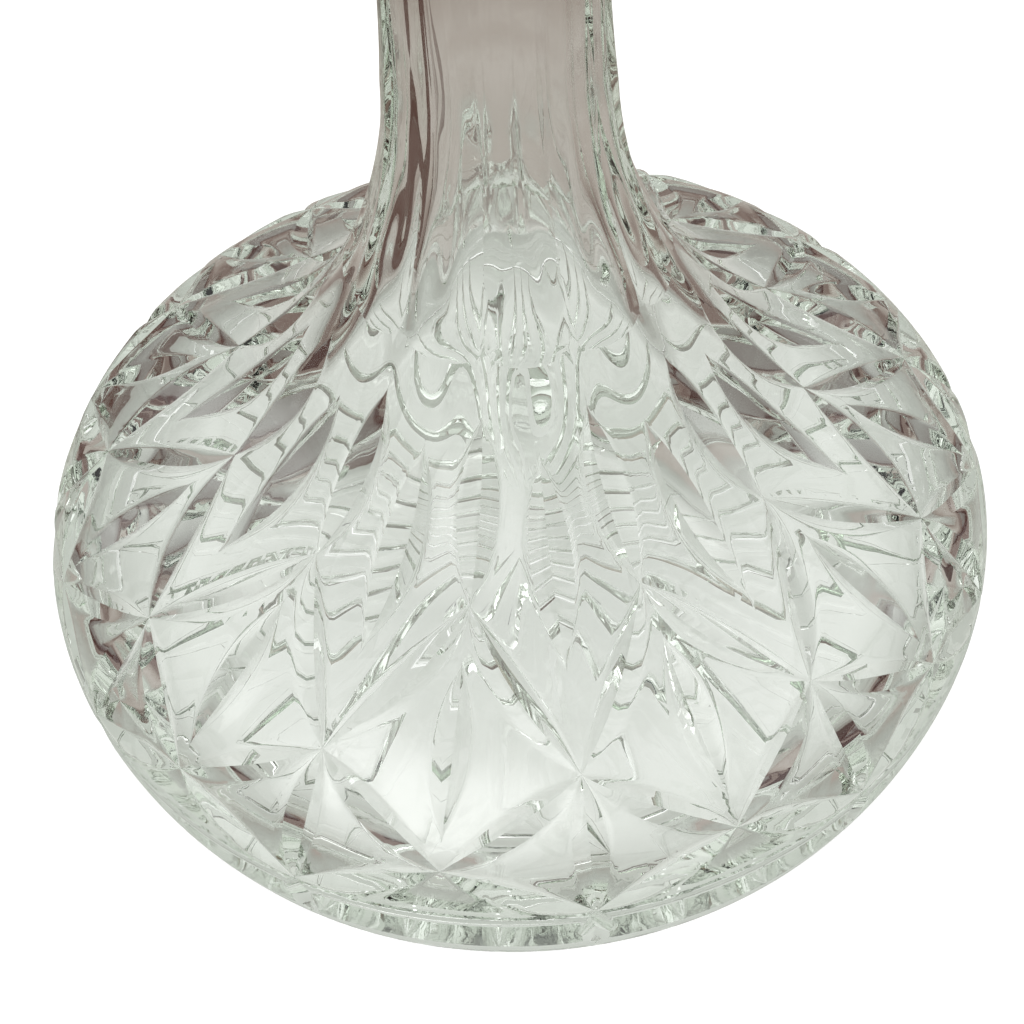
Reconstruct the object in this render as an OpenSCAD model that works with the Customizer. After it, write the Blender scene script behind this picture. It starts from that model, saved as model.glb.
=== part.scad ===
// Ship's decanter: a squat, wide glass bowl under a long straight neck, closed by a lift-out glass stopper.
// Millimetres. The origin is the centre of the base, on the surface that the decanter stands on, +Z up.

/* [Bowl] */
// Radius of the edge that the base stands on
base_r = 96.5; // [90:0.5:98]
// Largest radius, low on the bowl
bowl_r = 99.8; // [99:0.1:104]
// Height of the largest radius
bowl_z = 15; // [14:0.5:17]
// Radius where the bowl turns into the shoulder slope
shoulder_r = 58.6; // [57:0.1:61]
// Height of that turn
shoulder_z = 49.5; // [48:0.1:52]
// Glass thickness on the bowl, measured sideways at the largest radius
wall = 6.4; // [5.5:0.1:7]
// Height of the floor inside the bowl
floor_z = 9; // [8:0.5:10]

/* [Neck] */
// Outer radius low on the neck
neck_low_r = 18.8; // [18.2:0.1:20]
// Height of the low point of the neck
neck_low_z = 115; // [112:1:118]
// Outer radius at the narrowest place
neck_min_r = 16.2; // [15.6:0.1:17]
// Height of the narrowest place
neck_min_z = 158; // [150:1:162]
// Radius of the bore down the neck
bore_r = 9.8; // [9:0.1:10]

/* [Lip] */
// Height of the rim
rim_z = 200; // [196:1:206]
// Radius of the flared lip
lip_r = 27; // [24:0.5:30]
// Height of the lip's edge
lip_t = 4; // [3:0.5:5]
// Radius of the mouth
mouth_r = 11.5; // [11.3:0.1:12]

/* [Stopper] */
// Length of the tapered peg below the rim
peg_len = 28; // [22:1:30]
// Largest radius of the stopper's head
head_r = 23.5; // [20:0.5:26]
// Height of the head's widest place above the rim
head_mid = 31; // [28:1:34]
// Height of the top of the head above the rim
head_top = 55; // [50:1:60]
// Gap left all round between the seal and the mouth
seal_gap = 0.08; // [0.05:0.01:0.1]
// Thickness of the seal's sleeve
seal_t = 1.5; // [1.2:0.1:1.8]

/* [Hidden] */
$fn = 96;
steps = 10;             // straight stretches in each curve
slope = [0.917, -0.4];  // direction of the shoulder, outwards and down, where the bowl turns
base_recess = 2.5;      // how far the middle of the base stands off the table
recess_r = 91;          // radius of that recess
edge = 2;               // rounding of the lip's edge and of the foot
taper_z = 168;          // height where the bore starts to widen towards the mouth
seal_flange = 1.2;      // thickness of the seal's flange, which lies on the rim
seal_flange_r = 14;
rib = 0.35;             // how far the seal's rings stand out of its sleeve
glass_tint = [0.86, 0.93, 0.90, 0.55];
seal_tint = [0.93, 0.94, 0.93];

// A point of a cubic curve between a and d, drawn towards b and c.
function bezier(a, b, c, d, t) =
    pow(1 - t, 3) * a + 3 * pow(1 - t, 2) * t * b + 3 * (1 - t) * t * t * c + pow(t, 3) * d;
// The points of such a curve without its first one, which the curve before it ends with.
function curve(a, b, c, d) = [for (i = [1:steps]) bezier(a, b, c, d, i / steps)];

// Radius of the tapered mouth at height z.
function mouth_at(z) = bore_r + (mouth_r - bore_r) * (z - taper_z) / (rim_z - taper_z);

// Half section of the glass body: up its outside from the foot to the rim, then down its inside.
module body_section() {
    wall_in = bowl_r - wall;
    foot = [base_r, 0];
    foot_top = [base_r + edge, edge];
    widest = [bowl_r, bowl_z];
    turn = [shoulder_r, shoulder_z];
    neck_low = [neck_low_r, neck_low_z];
    neck_min = [neck_min_r, neck_min_z];
    lip_low = [lip_r, rim_z - lip_t];
    turn_in = turn - 0.8 * wall * [-slope[1], slope[0]];
    bore_low = [bore_r + 0.7, neck_low_z + 3];
    wall_low_in = [wall_in, bowl_z + 2];
    floor_edge = [wall_in - 9, floor_z];
    outside = concat(
        [foot],
        curve(foot, foot + [1.2, 0], foot_top - [0, 1], foot_top),
        curve(foot_top, foot_top + [0.9, 4], widest - [0, 4], widest),
        curve(widest, widest + [0, 22.3], turn + 24.8 * slope, turn),
        curve(turn, turn - 20.8 * slope, neck_low + [1.8, -26.7], neck_low),
        curve(neck_low, neck_low + [-1.8, 12.2], neck_min - [0, 13], neck_min),
        curve(neck_min, neck_min + [0, 18], lip_low - [7, 6], lip_low),
        curve(lip_low, lip_low + [edge, edge], [lip_r, rim_z], [lip_r - edge, rim_z]));
    inside = concat(
        [[mouth_r + 0.8, rim_z], [mouth_at(rim_z - 0.8), rim_z - 0.8], [bore_r, taper_z], bore_low],
        curve(bore_low, bore_low - [0, 34], turn_in - 28 * slope, turn_in),
        curve(turn_in, turn_in + 22.5 * slope, wall_low_in + [0, 16], wall_low_in),
        curve(wall_low_in, wall_low_in - [0, 6], floor_edge + [6, 0], floor_edge));
    underside = [[0, floor_z], [0, base_recess], [recess_r, base_recess * 0.8], [recess_r + 2, 0]];
    polygon(concat(outside, inside, underside));
}

// The bowl, neck and flared lip, one piece of glass.
module decanter_body() {
    color(glass_tint) rotate_extrude() body_section();
}

// Half section of the stopper: the tapered peg, a collar that sits on the seal, a waist and the head.
module stopper_section() {
    peg_top_r = mouth_at(rim_z) - seal_gap - rib - seal_t;
    peg_tip_r = mouth_at(rim_z - peg_len) - seal_gap - rib - seal_t;
    collar_z = rim_z + 0.05 + seal_flange;
    collar_top = [13.2, collar_z + 3];
    waist = [9.4, collar_z + 7];
    widest = [head_r, rim_z + head_mid];
    table = [8, rim_z + head_top];
    polygon(concat(
        [[0, rim_z - peg_len], [peg_tip_r - 1, rim_z - peg_len], [peg_tip_r, rim_z - peg_len + 1]],
        [[peg_top_r, rim_z], [peg_top_r, collar_z], [13.2, collar_z], collar_top],
        curve(collar_top, collar_top + [-3, 0.5], waist - [0, 2.5], waist),
        curve(waist, waist + [0, 6], widest - [0, 13], widest),
        curve(widest, widest + [0, 12], table + [8, 0], table),
        [[0, rim_z + head_top]]));
}

// The solid glass stopper.
module stopper() {
    color(glass_tint) rotate_extrude() stopper_section();
}

// Half section of the seal: a tapered sleeve pressed on the peg, three rings round it and a flange on top.
module seal_section() {
    low = rim_z - peg_len + 6;
    flange_z = rim_z + 0.05;
    peg_top_r = mouth_at(rim_z) - seal_gap - rib - seal_t;
    function sleeve_in(z) = mouth_at(z) - seal_gap - rib - seal_t;
    function sleeve_out(z) = sleeve_in(z) + seal_t;
    ring_z = [for (i = [0:2]) low + 3 + 6 * i];
    rings = [for (z = ring_z, p = [[-1, 0], [0, rib], [1, 0]]) [sleeve_out(z + p[0]) + p[1], z + p[0]]];
    polygon(concat(
        [[sleeve_in(low), low], [sleeve_out(low), low]],
        rings,
        [[sleeve_out(rim_z), rim_z], [sleeve_out(rim_z), flange_z], [seal_flange_r, flange_z]],
        [[seal_flange_r, flange_z + seal_flange], [peg_top_r, flange_z + seal_flange], [peg_top_r, rim_z]]));
}

// The soft sleeve that makes the stopper fit the neck.
module stopper_seal() {
    color(seal_tint) rotate_extrude() seal_section();
}

decanter_body();
stopper();
stopper_seal();
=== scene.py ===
"""Ship's decanter: cut glass bowl and neck, cut glass stopper and its soft seal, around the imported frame."""
import math

import bmesh
import bpy
import numpy as np
from mathutils import Matrix, Vector


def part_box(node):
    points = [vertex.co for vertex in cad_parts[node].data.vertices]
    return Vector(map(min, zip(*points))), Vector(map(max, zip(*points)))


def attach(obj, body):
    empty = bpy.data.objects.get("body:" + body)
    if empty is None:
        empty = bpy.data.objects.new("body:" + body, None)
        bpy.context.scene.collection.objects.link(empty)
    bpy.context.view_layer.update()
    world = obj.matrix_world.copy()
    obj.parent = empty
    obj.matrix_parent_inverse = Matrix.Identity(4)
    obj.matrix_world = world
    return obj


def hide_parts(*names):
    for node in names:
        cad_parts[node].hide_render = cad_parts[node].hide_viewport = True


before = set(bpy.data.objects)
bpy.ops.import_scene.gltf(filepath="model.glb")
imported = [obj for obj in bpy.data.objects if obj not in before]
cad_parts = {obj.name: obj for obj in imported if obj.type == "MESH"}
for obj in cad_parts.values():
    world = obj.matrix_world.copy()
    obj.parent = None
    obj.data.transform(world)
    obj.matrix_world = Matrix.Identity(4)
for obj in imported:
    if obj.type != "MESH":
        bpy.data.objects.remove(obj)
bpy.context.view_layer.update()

# ---------------------------------------------------------------- driving dimensions, in metres
MM = 0.001
body_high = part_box("decanter_body")[1]
BOWL_R = body_high[0]                # largest radius
RIM_Z = body_high[2]                 # height of the rim
BOWL_Z = 15 * MM                     # height of the largest radius
FOOT_R = 96.5 * MM                   # radius of the edge that the base stands on
EDGE_ROUND = 2 * MM                  # rounding of the foot and of the lip's edge
TURN = np.array([58.6, 49.5]) * MM   # where the bowl turns into the shoulder slope: radius, height
SLOPE = np.array([0.917, -0.4])      # direction of the shoulder there, outwards and down
NECK_LOW = np.array([18.8, 115]) * MM
NECK_MIN = np.array([16.2, 158]) * MM
LIP_R = 27 * MM
LIP_T = 4 * MM
MOUTH_R = 11.5 * MM
BORE_R = 9.8 * MM
BORE_LOW = np.array([10.5, 118]) * MM  # where the bore starts to open into the bowl
TAPER_Z = 168 * MM                   # where the bore starts to widen towards the mouth
WALL = 6.4 * MM                      # glass thickness at the largest radius
FLOOR_Z = 9 * MM
BASE_RECESS = 2.5 * MM               # how far the middle of the base stands off the table
RECESS_R = 91 * MM                   # radius of that recess

PEG_LEN = 28 * MM                    # the stopper's peg below the rim
COLLAR_R = 13.2 * MM                 # the stopper's collar, which sits on the seal
HEAD_R = 23.5 * MM
HEAD_MID_Z = RIM_Z + 31 * MM
HEAD_TOP_Z = RIM_Z + 55 * MM
SEAL_GAP = 0.08 * MM                 # between the seal's rings and the mouth
SEAL_RING = 0.35 * MM                # how far the seal's rings stand out
SEAL_T = 1.5 * MM
SEAL_LOW_Z = RIM_Z - PEG_LEN + 6 * MM
FLANGE_LOW_Z = RIM_Z + 0.05 * MM
FLANGE_TOP_Z = FLANGE_LOW_Z + 1.2 * MM
FLANGE_R = 14 * MM
FIT = 0.03 * MM                      # keeps touching surfaces apart

REPEATS = 12                         # the cut pattern's repeats round the decanter
PITCH = math.tau / REPEATS
PATTERN_TURN = math.radians(7.6)     # how far the pattern is turned from facing -Y
CUT_SLOPE = 0.80                     # depth of a groove over its half width
SOFT = 0.28 * MM                     # how softly a groove runs out into the surface
CREASE = math.radians(14)            # edges sharper than this stay crisp

PANEL_LOW_Z = 79 * MM                # where the neck's flat panels end
PANEL_FADE_Z = 104 * MM              # above this the panels are only slight
PANEL_TOP_Z = 186 * MM
RING_TOP = 50.3 * MM                 # heights of the four rings of stars, where leaves meet
RING_HIGH = 39.4 * MM
RING_LOW = 30.4 * MM
RING_FOOT = 21.8 * MM

STAR_RAYS = 36                       # rays of the star under the base
RAY_INNER = 8 * MM
RAY_OUTER = RECESS_R - 1 * MM
RAY_HALF = 3.3 * MM
RAY_SLOPE = 0.66
RAY_SOFT = 0.3 * MM
HEAD_REPEATS = 8                     # the pattern's repeats round the stopper's head

WAVE_TOP_Z = 105 * MM                # the bowl's inside is wavy below this, the bore above it
WAVE_R = 12 * MM                     # between the bore's radius and the bowl's

STEPS = 12                           # stretches in each curve of a section
LIP_STEPS = 8                        # stretches in the rounding of the lip
ROUND = 252                          # stretches round a turned surface
STOPPER_ROUND = 144
SEAL_ROUND = 120
GROOVE_STATIONS = 22                 # stations along a groove's cutter
RAY_STATIONS = 14
PANEL_STATIONS = 64
LEAST_ISLAND = 60                    # faces; a smaller loose piece of mesh is a crumb

TINT = (0.90, 0.955, 0.89)           # colour of the glass where it is thick
STAGE_SIZE = 3.0                     # half the side of the floor
DOME_R = 2.9                         # radius of the backdrop


# ---------------------------------------------------------------- sections
def bezier(a, b, c, d, steps=STEPS):
    """Points of a cubic curve from a to d, without a itself."""
    t = (np.arange(steps) + 1)[:, None] / steps
    a, b, c, d = (np.asarray(p, float) for p in (a, b, c, d))
    return (1 - t) ** 3 * a + 3 * (1 - t) ** 2 * t * b + 3 * (1 - t) * t * t * c + t ** 3 * d


def at(x, z):
    """A radius and a height given in millimetres."""
    return np.array([x, z]) * MM


def outer_section():
    """The outside of the body, from the foot's edge up to the rim."""
    foot = np.array([FOOT_R, 0])
    foot_top = foot + EDGE_ROUND
    widest = np.array([BOWL_R, BOWL_Z])
    lip_low = np.array([LIP_R, RIM_Z - LIP_T])
    rim = np.array([LIP_R - EDGE_ROUND, RIM_Z])
    return np.vstack([
        [foot],
        bezier(foot, foot + at(1.2, 0), foot_top - at(0, 1), foot_top, 6),
        bezier(foot_top, foot_top + at(0.9, 4), widest - at(0, 4), widest, 8),
        bezier(widest, widest + at(0, 22.3), TURN + 24.8 * MM * SLOPE, TURN, 2 * STEPS),
        bezier(TURN, TURN - 20.8 * MM * SLOPE, NECK_LOW + at(1.8, -26.7), NECK_LOW, 2 * STEPS),
        bezier(NECK_LOW, NECK_LOW + at(-1.8, 12.2), NECK_MIN - at(0, 13), NECK_MIN, STEPS),
        bezier(NECK_MIN, NECK_MIN + at(0, 18), lip_low - at(7, 6), lip_low, STEPS),
        bezier(lip_low, lip_low + EDGE_ROUND, [LIP_R, RIM_Z], rim, LIP_STEPS),
    ])


def inner_section():
    """The inside of the body, from the mouth down to the middle of the floor."""
    turn_in = TURN - 0.8 * WALL * np.array([-SLOPE[1], SLOPE[0]])
    wall_low = np.array([BOWL_R - WALL, BOWL_Z + 2 * MM])
    floor_edge = np.array([BOWL_R - WALL - 9 * MM, FLOOR_Z])
    rim = np.array([MOUTH_R + 0.8 * MM, RIM_Z])
    mouth = np.array([MOUTH_R - 0.05 * MM, RIM_Z - 0.8 * MM])
    bore_top = np.array([BORE_R, TAPER_Z])
    return np.vstack([
        [rim],
        bezier(rim, rim - at(0.4, 0), mouth + at(0.02, 0.4), mouth, 4),
        bezier(mouth, mouth - at(0.4, 8), bore_top + at(0, 10), bore_top, 8),
        bezier(bore_top, bore_top - at(0, 15), BORE_LOW + at(0, 15), BORE_LOW, 12),
        bezier(BORE_LOW, BORE_LOW - at(0, 34), turn_in - 28 * MM * SLOPE, turn_in, 2 * STEPS),
        bezier(turn_in, turn_in + 22.5 * MM * SLOPE, wall_low + at(0, 16), wall_low, 2 * STEPS),
        bezier(wall_low, wall_low - at(0, 6), floor_edge + at(6, 0), floor_edge, STEPS),
        bezier(floor_edge, floor_edge - at(20, 0), at(40, 9.4), at(0, 9.4), 12),
    ])


def base_section():
    """The underside, from its middle out to the foot's edge."""
    return np.array([
        [0, BASE_RECESS],
        [RECESS_R * 0.5, BASE_RECESS * 0.95],
        [RECESS_R, BASE_RECESS * 0.8],
        [RECESS_R + 2 * MM, 0],
    ])


def sleeve_inside(z):
    """Radius of the seal's sleeve on the inside at height z: it follows the taper of the mouth."""
    mouth = BORE_R + (MOUTH_R - BORE_R) * (z - TAPER_Z) / (RIM_Z - TAPER_Z)
    return mouth - SEAL_GAP - SEAL_RING - SEAL_T


def head_section():
    """The outside of the stopper's head, from the waist up to its flat top."""
    waist = np.array([9.4 * MM, FLANGE_TOP_Z + 7 * MM])
    widest = np.array([HEAD_R, HEAD_MID_Z])
    table = np.array([8 * MM, HEAD_TOP_Z])
    return np.vstack([
        [waist],
        bezier(waist, waist + at(0, 6), widest - at(0, 13), widest, 2 * STEPS),
        bezier(widest, widest + at(0, 12), table + at(8, 0), table, 2 * STEPS),
    ])


def stopper_section():
    """The whole stopper, from the tip of its peg up to the middle of its top."""
    tip_z = RIM_Z - PEG_LEN
    tip_r, top_r = sleeve_inside(tip_z) - FIT, sleeve_inside(RIM_Z) - FIT
    collar_low, edge = FLANGE_TOP_Z + FIT, 0.4 * MM
    collar_top = np.array([COLLAR_R - edge, FLANGE_TOP_Z + 3 * MM])
    head = head_section()
    return np.vstack([
        [[0, tip_z], [tip_r - 1 * MM, tip_z], [tip_r - 0.3 * MM, tip_z + 0.3 * MM], [tip_r, tip_z + 1 * MM]],
        [[top_r, RIM_Z], [top_r, collar_low], [COLLAR_R - edge, collar_low], [COLLAR_R, collar_low + edge]],
        [[COLLAR_R, collar_top[1] - edge], collar_top],
        bezier(collar_top, collar_top + at(-2.6, 0.5), head[0] - at(0, 2.5), head[0], 10),
        head[1:],
        [[0, HEAD_TOP_Z]],
    ])


def seal_section():
    """The seal: a tapered sleeve with three round rings outside, and a flange on top."""
    low_r, bevel = sleeve_inside(SEAL_LOW_Z), 0.3 * MM
    points = [[low_r, SEAL_LOW_Z], [low_r + SEAL_T - bevel, SEAL_LOW_Z], [low_r + SEAL_T, SEAL_LOW_Z + bevel]]
    for ring in range(3):
        middle = SEAL_LOW_Z + (3 + 6 * ring) * MM
        for step in range(9):
            p = step / 4 - 1
            z = middle + p * MM
            points.append([sleeve_inside(z) + SEAL_T + SEAL_RING * math.cos(p * math.pi / 2) ** 2, z])
    edge = 0.45 * MM
    points += [[sleeve_inside(RIM_Z) + SEAL_T, RIM_Z], [sleeve_inside(RIM_Z) + SEAL_T, FLANGE_LOW_Z]]
    for step in range(5):
        a = math.pi / 8 * step
        points.append([FLANGE_R - edge * (1 - math.sin(a)), FLANGE_LOW_Z + edge * (1 - math.cos(a))])
    for step in range(5):
        a = math.pi / 8 * step
        points.append([FLANGE_R - edge * (1 - math.cos(a)), FLANGE_TOP_Z - edge * (1 - math.sin(a))])
    points += [[sleeve_inside(RIM_Z), FLANGE_TOP_Z], [sleeve_inside(RIM_Z), RIM_Z]]
    return np.array(points)


# ---------------------------------------------------------------- mesh helpers
def new_object(name, verts, faces):
    mesh = bpy.data.meshes.new(name)
    mesh.from_pydata([tuple(v) for v in verts], [], faces)
    mesh.validate()
    obj = bpy.data.objects.new(name, mesh)
    bpy.context.collection.objects.link(obj)
    return obj


def revolve(name, section, sides=ROUND, loop=False):
    """A closed turned solid. The section starts and ends on the axis, or is a loop that doesn't reach it."""
    verts, rings = [], []
    for r, z in section:
        if r < 1e-9:
            rings.append([len(verts)])
            verts.append((0, 0, z))
            continue
        rings.append(list(range(len(verts), len(verts) + sides)))
        for k in range(sides):
            a = math.tau * k / sides
            verts.append((r * math.cos(a), r * math.sin(a), z))
    faces = []
    for low, high in zip(rings, rings[1:] + (rings[:1] if loop else [])):
        for k in range(sides):
            n = (k + 1) % sides
            if len(low) == 1 and len(high) == 1:
                continue
            if len(low) == 1:
                faces.append((low[0], high[n], high[k]))
            elif len(high) == 1:
                faces.append((low[k], low[n], high[0]))
            else:
                faces.append((low[k], low[n], high[n], high[k]))
    return new_object(name, verts, faces)


class Surface:
    """A turned surface that grooves follow: the outside of a section between two heights."""

    def __init__(self, section):
        self.points = section
        steps = np.hypot(*np.diff(section, axis=0).T)
        self.length = np.concatenate([[0], np.cumsum(steps)])

    def along(self, z):
        """Length along the section to height z, where the section rises all the way."""
        return np.interp(z, self.points[:, 1], self.length)

    def place(self, s):
        """Radius, height and outward normal (radial, upward) at length s."""
        step = 0.4 * MM
        places = (s - step, s, s + step)
        r_before, r, r_after = np.interp(places, self.length, self.points[:, 0])
        z_before, z, z_after = np.interp(places, self.length, self.points[:, 1])
        dr, dz = r_after - r_before, z_after - z_before
        size = np.hypot(dr, dz)
        return r, z, dz / size, -dr / size


def facing(turn):
    """Direction from the axis at this turn, counted from -Y towards +X."""
    return np.array([math.sin(turn), -math.cos(turn), 0])


def closed_strip(stations, count):
    """Faces of a closed bar whose stations each have count corners, one after the other."""
    last = count * (stations - 1)
    faces = [tuple(range(count)), tuple(last + k for k in reversed(range(count)))]
    for i in range(stations - 1):
        a, b = count * i, count * (i + 1)
        for j in range(count):
            k = (j + 1) % count
            faces.append((a + k, a + j, b + j, b + k))
    return faces


def soft_valley(distance, deep, slope, softness):
    """Depth at a distance from the middle of a V groove whose edges run out softly."""
    x = (deep - slope * distance) / softness
    return softness * (math.log1p(math.exp(-abs(x))) + max(x, 0))


def soft_profile(deep, slope, soft, inner_shares):
    """Points (distance, depth) of half a groove, from two on its flank out to where its edge has run out."""
    half = max(deep, 0) / slope
    edge = soft / slope
    distances = [share * half for share in inner_shares]
    distances += [half - 0.5 * edge, half + 0.5 * edge, half + 1.5 * edge]
    return [(x, soft_valley(x, deep, slope, soft)) for x in distances]


def groove(surface, start, end, half_width):
    """Vertices and faces of a boat-shaped V cutter, laid on the surface from start to end.
    start and end are (turn, height). The groove is widest in the middle and pointed at its ends."""
    up = 1.2 * MM      # how far the cutter stands out of the surface
    over = 0.03        # how far it runs on past each end, as a share of its length
    depth = half_width * CUT_SLOPE
    s0, s1 = surface.along(start[1]), surface.along(end[1])
    middle = surface.place((s0 + s1) / 2)[0]
    run = np.array([(end[0] - start[0]) * middle, s1 - s0])
    run /= np.linalg.norm(run)
    verts = []
    for i in range(GROOVE_STATIONS):
        u = -over + (1 + 2 * over) * i / (GROOVE_STATIONS - 1)
        s = s0 + (s1 - s0) * u
        turn = start[0] + (end[0] - start[0]) * u
        radius = surface.place(s)[0]
        deep = depth * (1 - (2 * u - 1) ** 2)
        soft = SOFT * max(0.15, min(1, deep / depth + 0.1))
        reach = (max(deep, 0) + 3.2 * soft) / CUT_SLOPE
        steps = soft_profile(deep, CUT_SLOPE, soft, (0, 0.45)) + [(reach, 0), (reach + 0.2 * MM, -up)]
        corners = steps + [(-x, y) for x, y in reversed(steps[1:])]
        for x, deep_here in corners:
            r, z, nr, nz = surface.place(s + x * run[0])
            out = facing(turn - x * run[1] / radius)
            verts.append(out * (r - nr * deep_here) + np.array([0, 0, z - nz * deep_here]))
    return verts, closed_strip(GROOVE_STATIONS, len(corners))


def gather(name, shapes):
    """One object from several closed shapes."""
    verts, faces = [], []
    for more, loops in shapes:
        offset = len(verts)
        verts += list(more)
        faces += [tuple(offset + k for k in loop) for loop in loops]
    return new_object(name, verts, faces)


def apply_modifiers(obj):
    graph = bpy.context.evaluated_depsgraph_get()
    mesh = bpy.data.meshes.new_from_object(obj.evaluated_get(graph))
    old = obj.data
    obj.modifiers.clear()
    obj.data = mesh
    bpy.data.meshes.remove(old)


def subtract(obj, cutter):
    change = obj.modifiers.new("cut", "BOOLEAN")
    change.operation = "DIFFERENCE"
    change.solver = "MANIFOLD"
    change.object = cutter
    apply_modifiers(obj)
    data = cutter.data
    bpy.data.objects.remove(cutter)
    bpy.data.meshes.remove(data)


def drop_crumbs(obj):
    """Removes the specks of glass that cuts leave between them, and closes any pinhole."""
    obj.data.validate()
    work = bmesh.new()
    work.from_mesh(obj.data)
    seen = set()
    crumbs = []
    for face in work.faces:
        if face in seen:
            continue
        island, waiting = [], [face]
        seen.add(face)
        while waiting:
            here = waiting.pop()
            island.append(here)
            for edge in here.edges:
                for other in edge.link_faces:
                    if other not in seen:
                        seen.add(other)
                        waiting.append(other)
        if len(island) < LEAST_ISLAND:
            crumbs += island
    bmesh.ops.delete(work, geom=crumbs, context="FACES")
    open_edges = [edge for edge in work.edges if edge.is_boundary]
    bmesh.ops.holes_fill(work, edges=open_edges, sides=8)
    work.to_mesh(obj.data)
    work.free()


def outward(obj):
    """Makes the faces of a closed mesh point outwards."""
    work = bmesh.new()
    work.from_mesh(obj.data)
    bmesh.ops.recalc_face_normals(work, faces=work.faces)
    work.to_mesh(obj.data)
    work.free()


# ---------------------------------------------------------------- the body and its cuts
def around(shape_at, repeats=REPEATS):
    """The shapes that shape_at(turn) gives at every repeat of the pattern."""
    return [shape_at(PATTERN_TURN + k * math.tau / repeats) for k in range(repeats)]


def leaf_family(surface, start, end, half_width, repeats=REPEATS):
    """Grooves of one family all the way round. Turns of start and end count half repeats."""
    half = math.pi / repeats

    def leaf(turn):
        return groove(surface, (turn + start[0] * half, start[1]), (turn + end[0] * half, end[1]), half_width)

    return around(leaf, repeats)


def body_leaves(surface):
    """Families of grooves: (start, end, half width), with turns in half repeats.
    Sloping ones come in mirrored pairs."""
    upright = [
        ((1, 72 * MM), (1, RING_TOP), 3.8 * MM),
        ((0, 66.5 * MM), (0, 46.2 * MM), 3.9 * MM),
        ((1, 46.3 * MM), (1, 34.5 * MM), 3.1 * MM),
        ((0, RING_HIGH), (0, RING_FOOT), 3.2 * MM),
        ((0, RING_FOOT), (0, 5.5 * MM), 3.0 * MM),
    ]
    sloping = [
        ((1, RING_TOP), (0, RING_HIGH), 2.8 * MM),
        ((0, RING_HIGH), (1, RING_LOW), 2.7 * MM),
        ((1, RING_LOW), (0, RING_FOOT), 2.5 * MM),
    ]
    mirrored = [((-a[0], a[1]), (-b[0], b[1]), half_width) for a, b, half_width in sloping]
    return [leaf_family(surface, *leaf) for leaf in upright + sloping + mirrored]


def head_leaves(surface):
    """The stopper's grooves: a belt of lozenges, each with an upright leaf in it."""
    low, middle, high = HEAD_MID_Z - 13 * MM, HEAD_MID_Z + 1 * MM, HEAD_MID_Z + 15 * MM
    leaves = [
        ((0, middle - 7 * MM), (0, middle + 7.5 * MM), 1.9 * MM),
        ((1, low - 3 * MM), (1, middle), 1.7 * MM),
        ((1, middle), (1, high + 3 * MM), 1.7 * MM),
    ]
    for side in (1, -1):
        leaves += [((0, low), (side, middle), 1.6 * MM), ((side, middle), (0, high), 1.6 * MM)]
    return [leaf_family(surface, *leaf, repeats=HEAD_REPEATS) for leaf in leaves]


def panel(surface, turn):
    """Cutter that leaves one panel of the neck, flat at the bottom and rounder further up."""
    reach = 8 * MM            # how far the cutter stands out of the neck
    exit_length = 1.6 * MM    # the cut runs out over this length at its lower end
    across = 9
    half_angle = PITCH / 2
    wide = half_angle * 1.2   # neighbours overlap
    crowding = 1.3            # draws the stations towards the lower end
    s0, s1 = surface.along(PANEL_LOW_Z), surface.along(PANEL_TOP_Z)
    verts = []
    for i in range(PANEL_STATIONS):
        t = i / (PANEL_STATIONS - 1)
        s = s0 + (s1 - s0) * t ** crowding
        r, z = surface.place(s)[:2]
        flatness = 0.25 + 0.75 / (1 + math.exp((z - PANEL_FADE_Z) / (6 * MM)))
        lift = 0.05 * r * math.exp(-(s - s0) / exit_length)
        ring = []
        for k in range(across):
            angle = wide * (2 * k / (across - 1) - 1)
            plane = r * math.cos(half_angle) / math.cos(angle)
            ring.append((angle, r + (plane - r) * flatness + lift))
        ring += [(wide, r + reach), (-wide, r + reach)]
        for angle, distance in ring:
            verts.append(facing(turn + angle) * distance + np.array([0, 0, z]))
    return verts, closed_strip(PANEL_STATIONS, across + 2)


def star_ray(turn):
    """Cutter of one ray of the star under the base, pointed at both ends."""
    out = facing(turn)
    side = np.array([-out[1], out[0], 0])
    height = BASE_RECESS * 0.9
    depth = RAY_HALF * RAY_SLOPE
    below = 1 * MM     # how far the cutter stands out of the base
    over = 0.02        # how far it runs on past each end, as a share of its length
    verts = []
    for i in range(RAY_STATIONS):
        u = -over + (1 + 2 * over) * i / (RAY_STATIONS - 1)
        deep = depth * (1 - (2 * u - 1) ** 2)
        soft = RAY_SOFT * max(0.15, min(1, deep / depth + 0.1))
        reach = (max(deep, 0) + 3 * soft) / RAY_SLOPE
        steps = soft_profile(deep, RAY_SLOPE, soft, (0.12, 0.5)) + [(reach, 0), (reach + 0.2 * MM, -below)]
        centre = out * (RAY_INNER + (RAY_OUTER - RAY_INNER) * u)
        corners = steps + [(-x, y) for x, y in reversed(steps)]
        verts += [centre + side * x + np.array([0, 0, height + y]) for x, y in corners]
    return verts, closed_strip(RAY_STATIONS, len(corners))


def bore_ripple(turn):
    """Faint upright ripples of the bore."""
    return (0.05 * math.sin(7 * turn + 1) + 0.035 * math.sin(17 * turn)) * MM


def bowl_wave(turn, z):
    """Faint waves of the bowl's inside. They fade towards the floor and the neck."""
    swell = min(1, (z - FLOOR_Z) / (8 * MM) + 0.15) * min(1, (WAVE_TOP_Z - z) / (20 * MM))
    cut_wave = 0.30 * math.cos(REPEATS * turn) * math.cos(z / (7.2 * MM))
    slow_wave = 0.16 * math.sin(5 * turn + z / (9 * MM))
    return (cut_wave + slow_wave) * swell * MM


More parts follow.
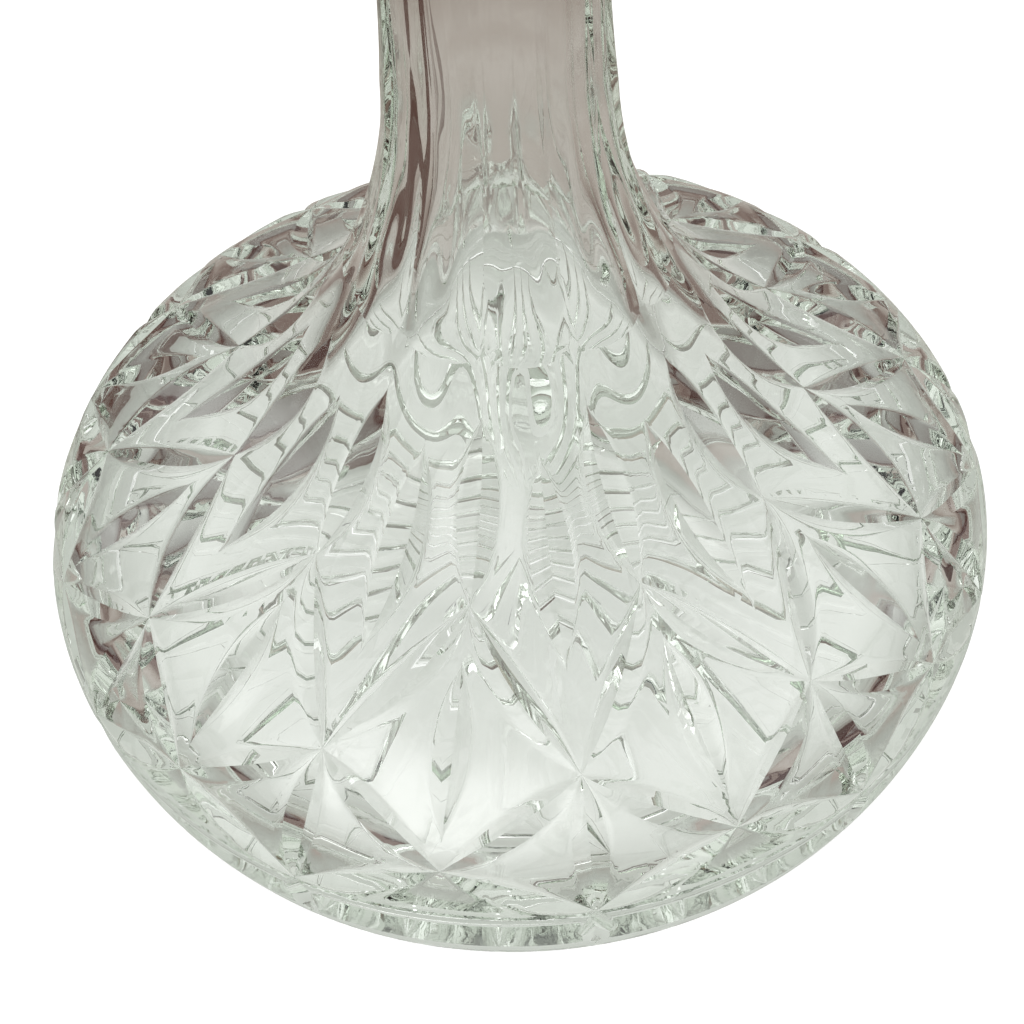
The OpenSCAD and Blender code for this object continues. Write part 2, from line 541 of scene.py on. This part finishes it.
def wave_inside(body):
    """Lets the inside follow the cut pattern faintly, as blown glass does."""
    inside_r, inside_z = inner_section()[::-1].T
    for vert in body.data.vertices:
        x, y, z = vert.co
        r = math.hypot(x, y)
        turn = math.atan2(x, -y) - PATTERN_TURN
        in_bore = r < WAVE_R and WAVE_TOP_Z < z < TAPER_Z
        on_inside = r < np.interp(z, inside_z, inside_r) + 1 * MM
        in_bowl = on_inside and r >= WAVE_R and FLOOR_Z - 1 * MM < z < WAVE_TOP_Z
        if in_bore:
            push = bore_ripple(turn)
        elif in_bowl:
            push = bowl_wave(turn, z)
            vert.co.z += 0.5 * push
        else:
            continue
        vert.co.x += push * x / r
        vert.co.y += push * y / r


def cut_all(obj, families):
    """Takes each family of cutters out of the object in turn."""
    for shapes in families:
        cutter = gather("cutter", shapes)
        outward(cutter)
        subtract(obj, cutter)
    drop_crumbs(obj)


def make_body():
    outside = outer_section()
    body = revolve("glass_body", np.vstack([base_section(), outside, inner_section()]))
    outward(body)
    wave_inside(body)
    surface = Surface(outside[:-LIP_STEPS])
    families = body_leaves(surface)
    for first in (0, 1):
        families.append([panel(surface, PATTERN_TURN + k * PITCH) for k in range(first, REPEATS, 2)])
    families.append(around(star_ray, STAR_RAYS))
    cut_all(body, families)
    return body


def make_stopper():
    stopper = revolve("glass_stopper", stopper_section(), STOPPER_ROUND)
    outward(stopper)
    cut_all(stopper, head_leaves(Surface(head_section())))
    return stopper


def make_seal():
    seal = revolve("sealing_sleeve", seal_section(), SEAL_ROUND, loop=True)
    outward(seal)
    return seal


def smooth_with_creases(obj):
    mesh = obj.data
    mesh.polygons.foreach_set("use_smooth", [True] * len(mesh.polygons))
    mesh.set_sharp_from_angle(angle=CREASE)


body = make_body()
stopper = make_stopper()
seal = make_seal()
for piece in (body, stopper, seal):
    smooth_with_creases(piece)


# ---------------------------------------------------------------- materials
def slow_bump(mat, scale, strength, distance, stretch=1):
    """A faint bump from procedural noise in object space, drawn out upwards by the given stretch."""
    nodes, links = mat.node_tree.nodes, mat.node_tree.links
    where = nodes.new("ShaderNodeTexCoord")
    noise = nodes.new("ShaderNodeTexNoise")
    noise.inputs["Scale"].default_value = scale
    noise.inputs["Detail"].default_value = 1.5
    bump = nodes.new("ShaderNodeBump")
    bump.inputs["Strength"].default_value = strength
    bump.inputs["Distance"].default_value = distance
    squash = nodes.new("ShaderNodeVectorMath")
    squash.operation = "MULTIPLY"
    squash.inputs[1].default_value = (1, 1, 1 / stretch)
    links.new(where.outputs["Object"], squash.inputs[0])
    links.new(squash.outputs["Vector"], noise.inputs["Vector"])
    links.new(noise.outputs["Fac"], bump.inputs["Height"])
    links.new(bump.outputs["Normal"], nodes["Principled BSDF"].inputs["Normal"])


def glass_material(name, tint):
    """Clear glass with a faint tint that grows with its thickness."""
    mat = bpy.data.materials.new(name)
    mat.use_nodes = True
    nodes, links = mat.node_tree.nodes, mat.node_tree.links
    shader = nodes["Principled BSDF"]
    shader.inputs["Base Color"].default_value = (1, 1, 1, 1)
    shader.inputs["Transmission Weight"].default_value = 1
    shader.inputs["Roughness"].default_value = 0.0
    shader.inputs["IOR"].default_value = 1.52
    slow_bump(mat, 70, 0.35, 0.4 * MM, 5)
    volume = nodes.new("ShaderNodeVolumeAbsorption")
    volume.inputs["Color"].default_value = (*tint, 1)
    volume.inputs["Density"].default_value = 14
    links.new(volume.outputs["Volume"], nodes["Material Output"].inputs["Volume"])
    return mat


def seal_material():
    """Milky soft plastic."""
    mat = bpy.data.materials.new("seal_plastic")
    mat.use_nodes = True
    shader = mat.node_tree.nodes["Principled BSDF"]
    shader.inputs["Base Color"].default_value = (0.80, 0.82, 0.80, 1)
    shader.inputs["Transmission Weight"].default_value = 0.25
    shader.inputs["Roughness"].default_value = 0.45
    shader.inputs["IOR"].default_value = 1.43
    slow_bump(mat, 900, 0.25, 0.05 * MM)
    return mat


def finish_piece(piece, material, rides, node):
    """Gives a piece its material in a slot and its body, and hides the CAD part that it replaces."""
    piece.data.materials.clear()
    piece.data.materials.append(material)
    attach(piece, rides)
    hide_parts(node)


finish_piece(body, glass_material("body_glass", TINT), "decanter", "decanter_body")
finish_piece(stopper, glass_material("stopper_glass", TINT), "stopper_set", "stopper")
finish_piece(seal, seal_material(), "stopper_set", "stopper_seal")


# ---------------------------------------------------------------- floor, light and camera
def sheet(name, corners, height):
    """One flat face at this height, with corners (x, y)."""
    return new_object(name, [(x, y, height) for x, y in corners], [tuple(range(len(corners)))])


def square(size):
    return [(-size, -size), (size, -size), (size, size), (-size, size)]


def white_floor():
    """Plain white floor. The camera and soft light see it, and the glass shows the cards instead."""
    floor = sheet("floor", square(STAGE_SIZE), 0)
    mat = bpy.data.materials.new("floor_paper")
    mat.use_nodes = True
    shader = mat.node_tree.nodes["Principled BSDF"]
    shader.inputs["Base Color"].default_value = (0.5, 0.5, 0.5, 1)
    shader.inputs["Roughness"].default_value = 0.9
    shader.inputs["Emission Color"].default_value = (1, 1, 1, 1)
    shader.inputs["Emission Strength"].default_value = 0.7
    floor.data.materials.append(mat)
    floor.visible_transmission = False
    floor.visible_glossy = False


def set_ramp(ramp, marks):
    """Fills a colour ramp with (position, colour) marks, the first at 0 and the last at 1."""
    elements = ramp.color_ramp.elements
    elements[0].color = (*marks[0][1], 1)
    elements[-1].color = (*marks[-1][1], 1)
    for position, colour in marks[1:-1]:
        elements.new(position).color = (*colour, 1)


def glow_material(name, colour):
    """Plain emission. Returns the material and its emission node."""
    mat = bpy.data.materials.new(name)
    mat.use_nodes = True
    nodes, links = mat.node_tree.nodes, mat.node_tree.links
    nodes.remove(nodes["Principled BSDF"])
    glow = nodes.new("ShaderNodeEmission")
    glow.inputs["Color"].default_value = (*colour, 1)
    links.new(glow.outputs["Emission"], nodes["Material Output"].inputs["Surface"])
    return mat, glow


def seen_in_glass_only(card):
    card.visible_camera = False
    card.visible_diffuse = False
    card.visible_shadow = False


def surround_card_with_painted_light():
    """A glowing card that only the glass shows: pale paper under the decanter and a taupe surround round it,
    with painted light and shade in its glow.
    """
    card = sheet("surround_card_with_painted_light", square(STAGE_SIZE), -0.4 * MM)
    mat, glow = glow_material("surround_card_with_painted_light", (1, 1, 1))
    nodes, links = mat.node_tree.nodes, mat.node_tree.links
    where = nodes.new("ShaderNodeTexCoord")
    length = nodes.new("ShaderNodeVectorMath")
    length.operation = "LENGTH"
    spread = nodes.new("ShaderNodeMapRange")
    spread.inputs["From Min"].default_value = 0.0
    spread.inputs["From Max"].default_value = 0.3
    ramp = nodes.new("ShaderNodeValToRGB")
    # Painted light and shade: the paper's glow under the glass stands in for how it is lit there, with a
    # painted bright ring at about 78 mm. It dims just beyond the foot, then runs into the taupe surround's own
    # colour, which gets darker out to 300 mm.
    set_ramp(ramp, [(0, (0.56, 0.59, 0.54)), (0.12, (0.60, 0.63, 0.58)), (0.26, (0.78, 0.81, 0.76)),
                    (0.31, (0.58, 0.61, 0.56)), (0.38, (0.42, 0.44, 0.40)), (0.42, (0.385, 0.385, 0.345)),
                    (0.46, (0.41, 0.365, 0.325)), (0.54, (0.46, 0.415, 0.375)), (0.68, (0.38, 0.33, 0.29)),
                    (1, (0.20, 0.145, 0.125))])
    links.new(where.outputs["Object"], length.inputs[0])
    links.new(length.outputs["Value"], spread.inputs["Value"])
    links.new(spread.outputs["Result"], ramp.inputs["Fac"])
    links.new(ramp.outputs["Color"], glow.inputs["Color"])
    card.data.materials.append(mat)
    seen_in_glass_only(card)


def dark_card(name, corners, colour):
    """A dark sheet beside the decanter that gives the glass its brown accents."""
    card = sheet(name, corners, -0.3 * MM)
    card.data.materials.append(glow_material(name, colour)[0])
    seen_in_glass_only(card)


def backdrop():
    """A white dome behind everything, seen by the camera only."""
    angles = np.linspace(-math.pi / 2, math.pi / 2, 33)
    section = [(DOME_R * math.cos(a), DOME_R * math.sin(a)) for a in angles]
    section[0], section[-1] = (0, -DOME_R), (0, DOME_R)
    dome = revolve("backdrop", section, 64)
    dome.data.materials.append(glow_material("backdrop_white", (1, 1, 1))[0])
    for flag in ("visible_transmission", "visible_glossy", "visible_diffuse", "visible_shadow"):
        setattr(dome, flag, False)


def studio_world():
    """Soft light from above that falls off to a dim horizon, and one large soft light in front."""
    world = bpy.data.worlds.new("studio")
    world.use_nodes = True
    nodes, links = world.node_tree.nodes, world.node_tree.links
    where = nodes.new("ShaderNodeTexCoord")
    split = nodes.new("ShaderNodeSeparateXYZ")
    ramp = nodes.new("ShaderNodeValToRGB")
    set_ramp(ramp, [(0, (0.07, 0.03, 0.026)), (0.035, (0.07, 0.03, 0.026)), (0.07, (0.20, 0.175, 0.16)),
                    (0.35, (0.31, 0.31, 0.285)), (0.6, (0.62, 0.65, 0.60)), (0.85, (1.15, 1.15, 1.15)),
                    (1, (1.3, 1.3, 1.3))])
    towards = nodes.new("ShaderNodeVectorMath")
    towards.operation = "DOT_PRODUCT"
    towards.inputs[1].default_value = Vector((-0.30, -0.70, 0.65)).normalized()
    edge = nodes.new("ShaderNodeMapRange")
    edge.interpolation_type = "SMOOTHSTEP"
    edge.inputs["From Min"].default_value = math.cos(math.radians(32))
    edge.inputs["From Max"].default_value = math.cos(math.radians(12))
    edge.inputs["To Max"].default_value = 1.9
    both = nodes.new("ShaderNodeVectorMath")
    both.operation = "ADD"
    links.new(where.outputs["Generated"], split.inputs[0])
    links.new(split.outputs["Z"], ramp.inputs["Fac"])
    links.new(where.outputs["Generated"], towards.inputs[0])
    links.new(towards.outputs["Value"], edge.inputs["Value"])
    links.new(ramp.outputs["Color"], both.inputs[0])
    links.new(edge.outputs["Result"], both.inputs[1])
    links.new(both.outputs["Vector"], nodes["Background"].inputs["Color"])
    nodes["Background"].inputs["Strength"].default_value = 1.0
    bpy.context.scene.world = world


def photo_camera():
    """Stands in front, above and close, looking down at 51 degrees."""
    elevation, roll = math.radians(51.0), math.radians(-1.08)
    target = np.array([8.232, 0, 13.622]) * MM
    distance = 258.328 * MM
    back = np.array([0, -math.cos(elevation), math.sin(elevation)])
    up = np.array([0, math.sin(elevation), math.cos(elevation)])
    right = np.array([1.0, 0, 0])
    x_axis = math.cos(roll) * right + math.sin(roll) * up
    y_axis = -math.sin(roll) * right + math.cos(roll) * up
    place = target + back * distance
    data = bpy.data.cameras.new("camera")
    data.lens = 40.43
    data.sensor_width = 36
    data.shift_x = -0.0459
    data.shift_y = -0.0303
    data.clip_start = 0.01
    camera = bpy.data.objects.new("camera", data)
    matrix = Matrix.Identity(4)
    for row in range(3):
        matrix[row][0], matrix[row][1], matrix[row][2], matrix[row][3] = (
            x_axis[row], y_axis[row], back[row], place[row])
    camera.matrix_world = matrix
    bpy.context.collection.objects.link(camera)
    bpy.context.scene.camera = camera


white_floor()
surround_card_with_painted_light()
left_corners = [(-1.20, 0.36), (-0.12, 0.036), (-0.10, 0.075), (-0.90, 0.68)]
right_corners = [(0.15, -0.10), (0.50, -0.30), (0.50, -0.12), (0.15, -0.04)]
dark_card("dark_card_left", left_corners, (0.10, 0.052, 0.042))
dark_card("dark_card_right", right_corners, (0.06, 0.022, 0.02))
backdrop()
studio_world()
photo_camera()
scene = bpy.context.scene
scene.view_settings.view_transform = "Standard"
scene.cycles.max_bounces = 32
scene.cycles.transmission_bounces = 32
scene.cycles.glossy_bounces = 12
scene.cycles.use_denoising = True
